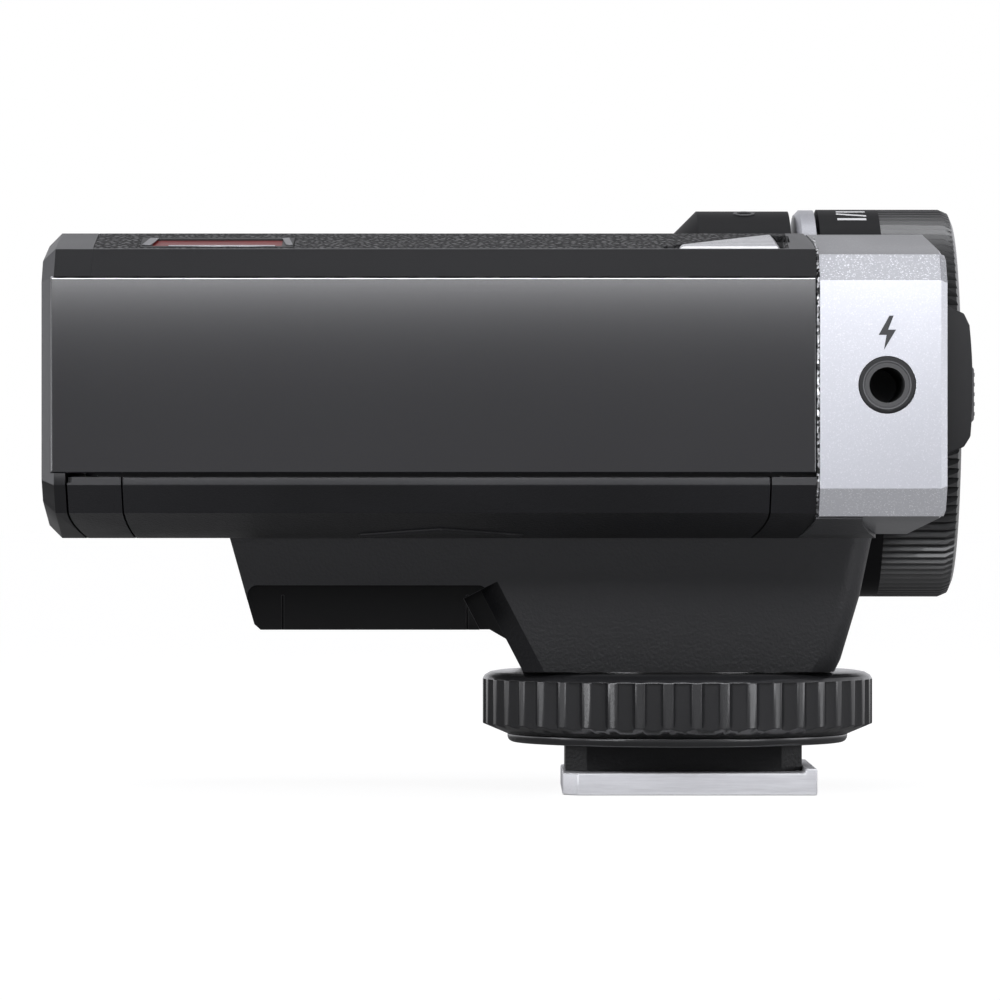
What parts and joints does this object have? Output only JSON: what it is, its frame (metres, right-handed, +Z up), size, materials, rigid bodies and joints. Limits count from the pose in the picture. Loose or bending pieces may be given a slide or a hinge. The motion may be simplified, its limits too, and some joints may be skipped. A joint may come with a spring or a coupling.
{
  "type": "speedlight flash",
  "caption": "Compact retro speedlight: leatherette-topped black body, silver rear block, knurled power dial, side sync jack and a hot-shoe foot with a ribbed lock ring.",
  "frame": {"origin": "on the lock ring's axis at the underside of the foot plate", "axes": "+Z up, +X towards the photographer (rear), -X towards the subject, -Y the side with the battery door and the sync jack"},
  "size_m": [0.072, 0.07, 0.0476],
  "materials": {
    "bezel_black": "semi-gloss moulded ABS",
    "shell_black": "fine spark-eroded grain",
    "panel_black": "semi-gloss painted plate",
    "hide_black": "fine-grained leatherette",
    "silver_paint": "metallic sparkle paint",
    "bright_metal": "brushed bright metal",
    "plated_steel": "satin plated steel",
    "knurl_black": "moulded knurls, satin",
    "dial_face": "spun black aluminium",
    "ring_black": "satin glass-filled nylon",
    "grip_grey": "textured soft grey",
    "lens_clear": "clear prismatic polycarbonate",
    "red_window": "deep red infrared filter",
    "smoked_lens": "smoked acrylic",
    "reflector": "bright anodised",
    "tube_glass": "quartz glass",
    "silicone": "translucent silicone",
    "lamp": "amber-red diffusing lens",
    "board": "solder-masked glass epoxy",
    "component": "moulded epoxy",
    "copper": "wound enamelled wire and tape",
    "can": "sleeved aluminium can",
    "cell": "plain shrink-sleeved cell",
    "spring": "nickel-plated wire",
    "brass": "turned brass, gold plated",
    "white_ink": "pad-printed mark",
    "insulator": "moulded insulator"
  },
  "bodies": {
    "body": {"front_bezel": "bezel_black", "fresnel_lens": "lens_clear", "reflector": "reflector", "flash_tube": "tube_glass", "tube_grommets": "silicone", "sensor_lens": "smoked_lens", "front_sensor": "component", "upper_shell": "shell_black", "side_panel_left": "panel_black", "side_panel_right": "panel_black", "top_leatherette": "hide_black", "sensor_window_frame": "bezel_black", "sensor_window": "red_window", "slave_photodiode": "component", "lever_pin": "spring", "lower_shell": "shell_black", "shell_screws": "spring", "battery_cradle": "insulator", "aaa_cells": "cell", "battery_springs": "spring", "battery_contacts": "spring", "main_board": "board", "main_capacitor": "can", "capacitor_clip": "insulator", "transformer": "copper", "trigger_coil": "copper", "rear_bezel": "silver_paint", "rear_panel": "bezel_black", "switch_surround": "shell_black", "ready_lamp": "lamp", "rear_board": "board", "tactile_switch": "component", "sync_jack": "insulator", "jack_collar": "shell_black", "rotary_switch": "component", "detent_spring": "spring", "index_mark": "white_ink", "foot_housing": "shell_black", "shoe_stem": "shell_black", "thread_sleeve": "ring_black", "shoe_plate": "plated_steel", "foot_screws": "spring", "contact_insulator": "insulator", "contact_spring": "spring"},
    "dial": {"power_dial": "knurl_black", "dial_cap": "dial_face", "dial_shaft": "spring"},
    "lever": {"thumb_lever": "bright_metal"},
    "slider": {"power_slider": "grip_grey"},
    "button": {"test_button": "grip_grey"},
    "door": {"battery_door": "shell_black"},
    "clamp": {"clamp_plate": "ring_black"},
    "ring": {"lock_ring": "ring_black"},
    "contact": {"centre_contact": "brass"}
  },
  "joints": [
    {"name": "dial_turn", "type": "hinge", "parent": "body", "child": "dial", "pos_m": [0.012, 0.012, 0.03157], "axis": [1, 0, 0], "range_deg": [0, 180]},
    {"name": "power_slide", "type": "slide", "parent": "body", "child": "slider", "axis": [0, 0, 1], "range_m": [0, 0.0016]},
    {"name": "test_press", "type": "slide", "parent": "body", "child": "button", "axis": [-1, 0, 0], "range_m": [0, 0.0006], "stiffness_N_per_m": 400},
    {"name": "thumb_lever_lift", "type": "hinge", "parent": "body", "child": "lever", "pos_m": [-0.00031, -0.03211, 0.04247], "axis": [0, -0.9806, -0.1961], "range_deg": [0, 80]},
    {"name": "door_slide", "type": "slide", "parent": "body", "child": "door", "axis": [0, -1, 0], "range_m": [0, 0.0225]},
    {"name": "clamp_slide", "type": "slide", "parent": "body", "child": "clamp", "axis": [0, 0, -1], "range_m": [0, 0.0015]},
    {"name": "ring_turn", "type": "hinge", "parent": "clamp", "child": "ring", "pos_m": [0, 0, 0.007], "axis": [0, 0, 1], "range_deg": [0, 540.5]},
    {"name": "contact_press", "type": "slide", "parent": "body", "child": "contact", "axis": [0, 0, 1], "range_m": [0, 0.0006], "stiffness_N_per_m": 500}
  ],
  "couplings": [
    {"joint": "ring_turn", "follows": "clamp_slide", "rad_per_m": 6283.2}
  ]
}
